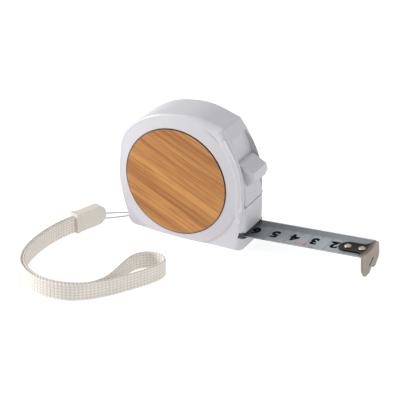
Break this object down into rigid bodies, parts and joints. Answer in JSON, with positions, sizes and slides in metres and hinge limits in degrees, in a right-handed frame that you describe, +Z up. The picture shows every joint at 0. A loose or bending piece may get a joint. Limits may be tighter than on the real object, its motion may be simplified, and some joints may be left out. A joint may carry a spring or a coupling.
{
  "type": "tape measure",
  "caption": "Pocket tape measure with a domed plastic case, wooden disc inlay, cupped steel blade with end hook, thumb lock, belt clip and webbing wrist strap.",
  "frame": {"origin": "on the flat base of the case, below the spool's axis and midway across the case's thickness", "axes": "+X the way the blade leaves the case, +Y towards the belt-clip side, +Z up"},
  "size_m": [0.1451, 0.1068, 0.0633],
  "materials": {
    "white_plastic": "smooth moulded, semi-gloss",
    "bamboo": "laminated bamboo, satin",
    "black_plastic": "moulded, matt",
    "bright_steel": "plain steel",
    "spring_steel": "tempered strip, nickel plated",
    "nylon": "natural nylon",
    "blade_paint": "printed steel strip under clear coat",
    "hook_nickel": "nickel-plated steel, warm grey",
    "black_rubber": "matt rubber",
    "string_cord": "braided string",
    "clamp_plastic": "moulded, off-white",
    "webbing": "ribbed cotton webbing, off-white"
  },
  "bodies": {
    "case": {"disc_side_cover": "white_plastic", "clip_side_cover": "white_plastic", "wooden_disc": "bamboo", "mouth_liner": "black_plastic", "axle_post": "bright_steel", "spool_washers": "nylon", "case_screws": "bright_steel", "strap_pin": "bright_steel", "blade_feed": "blade_paint", "clip_base": "spring_steel", "clip_screw": "bright_steel", "strap_string": "string_cord", "strap_clamp": "clamp_plastic", "strap_outer": "webbing", "strap_inner": "webbing"},
    "blade": {"blade": "blade_paint", "hook_rivets": "hook_nickel"},
    "hook": {"end_hook": "hook_nickel"},
    "spool": {"spool_drum": "nylon", "drum_cover": "nylon", "blade_coil": "blade_paint", "mainspring": "spring_steel"},
    "lock": {"lock_button": "white_plastic", "lock_bar": "black_plastic", "lock_pad": "black_rubber"},
    "clip": {"clip_tongue": "spring_steel"}
  },
  "joints": [
    {"name": "blade_slide", "type": "slide", "parent": "case", "child": "blade", "axis": [0.9969, 0, 0.0785], "range_m": [-0.055, 0]},
    {"name": "spool_spin", "type": "hinge", "parent": "case", "child": "spool", "pos_m": [0, 0, 0.031], "axis": [0, 1, 0], "range_deg": [0, 158]},
    {"name": "hook_slide", "type": "slide", "parent": "blade", "child": "hook", "axis": [0.9969, 0, 0.0785], "range_m": [0, 0.001]},
    {"name": "lock_slide", "type": "slide", "parent": "case", "child": "lock", "axis": [-0.2588, 0, 0.9659], "range_m": [0, 0.005]},
    {"name": "clip_flex", "type": "hinge", "parent": "case", "child": "clip", "pos_m": [0, 0.014, 0.049], "axis": [1, 0, 0], "range_deg": [0, 8], "stiffness_Nm_per_rad": 1.2}
  ],
  "couplings": [
    {"joint": "spool_spin", "follows": "blade_slide", "rad_per_m": -50}
  ]
}
